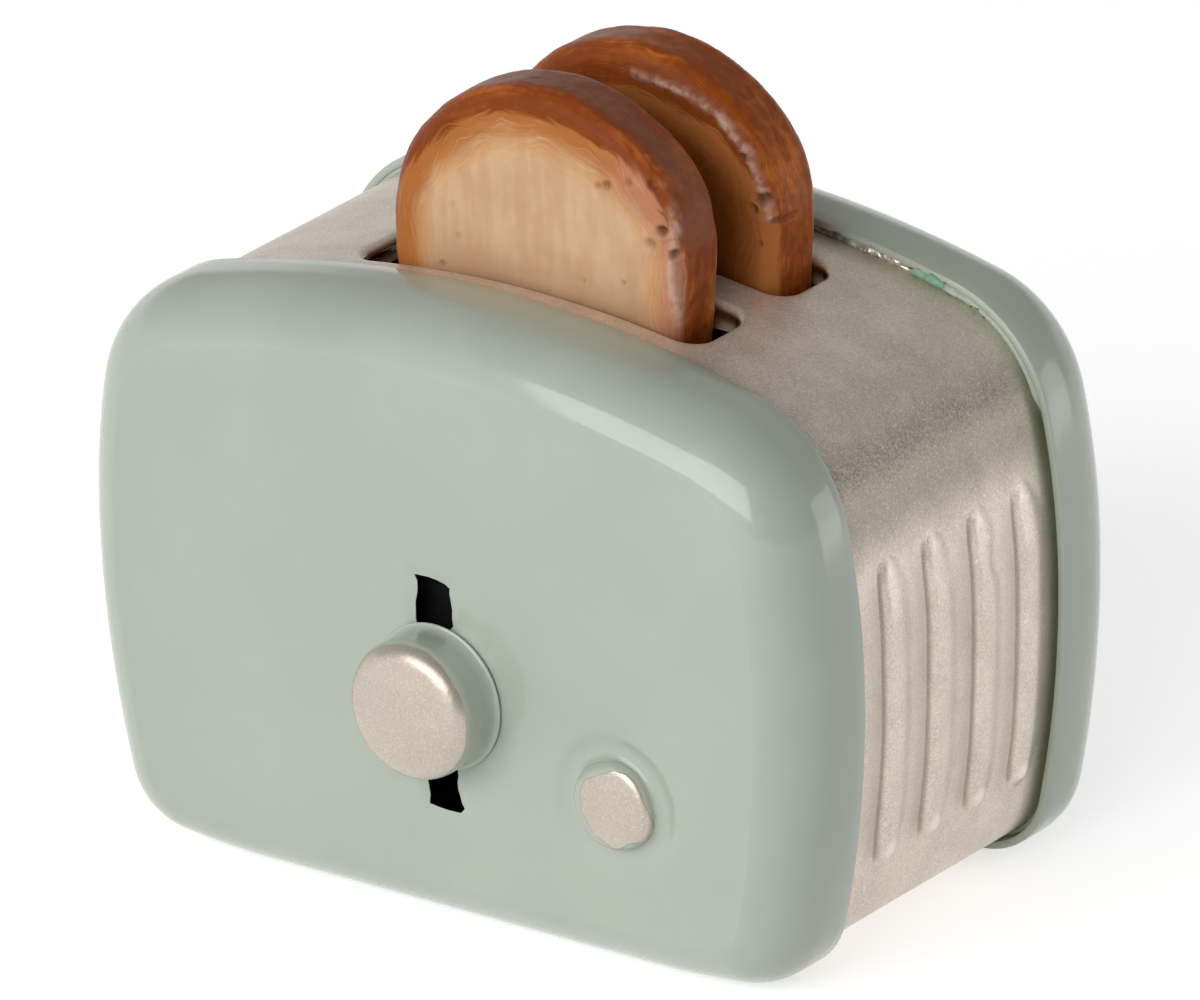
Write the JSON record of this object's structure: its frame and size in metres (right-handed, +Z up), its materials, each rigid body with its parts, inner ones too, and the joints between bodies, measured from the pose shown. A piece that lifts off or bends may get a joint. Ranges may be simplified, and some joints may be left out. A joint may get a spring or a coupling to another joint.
{
  "type": "toy toaster",
  "caption": "Doll's-house toaster with pillow-edged end covers, a ribbed silver wrap, a sliding lever knob and lift-out bread slices.",
  "frame": {"origin": "on the surface the toaster stands on, midway between the covers' sides and midway between the knob's face and the rear cover", "axes": "+Z up, the front cover with the lever faces -Y, +X to the right seen from the front"},
  "size_m": [0.06, 0.0414, 0.0563],
  "materials": {
    "mint_enamel": "gloss enamel",
    "silver_paint": "fine metallic flake paint, satin",
    "solder": "dull solder",
    "bare_steel": "bright tinplate",
    "black_steel": "black lacquer",
    "black_nylon": "matt",
    "brass": "turned",
    "painted_bread": "hand-painted cast resin, satin varnish"
  },
  "bodies": {
    "housing": {"front_cover": "mint_enamel", "rear_cover": "mint_enamel", "body_wrap": "silver_paint", "solder_bead_front": "solder", "solder_bead_rear": "solder", "base_plate": "bare_steel", "base_rivets": "bare_steel", "guide_post_left": "bare_steel", "guide_post_right": "bare_steel", "dial_button": "silver_paint", "dial_push_nut": "bare_steel"},
    "carriage": {"lever_knob": "mint_enamel", "lever_stem": "black_steel", "slide_washer": "black_nylon", "spring_washer": "black_steel", "stem_nut": "bare_steel", "lever_bracket": "black_steel", "bracket_rivets": "bare_steel", "lift_tray": "bare_steel", "tray_bush_left": "brass", "tray_bush_right": "brass", "toast_cradle_front": "bare_steel", "toast_cradle_rear": "bare_steel", "cradle_rivets": "bare_steel"},
    "front_slice": {"toast_front": "painted_bread"},
    "rear_slice": {"toast_rear": "painted_bread"}
  },
  "joints": [
    {"name": "lever_slide", "type": "slide", "parent": "housing", "child": "carriage", "axis": [0, 0, 1], "range_m": [-0.0067, 0.0067]},
    {"name": "front_slice_lift", "type": "slide", "parent": "carriage", "child": "front_slice", "axis": [0, 0, 1], "range_m": [0, 0.028]},
    {"name": "rear_slice_lift", "type": "slide", "parent": "carriage", "child": "rear_slice", "axis": [0, 0, 1], "range_m": [0, 0.028]}
  ]
}
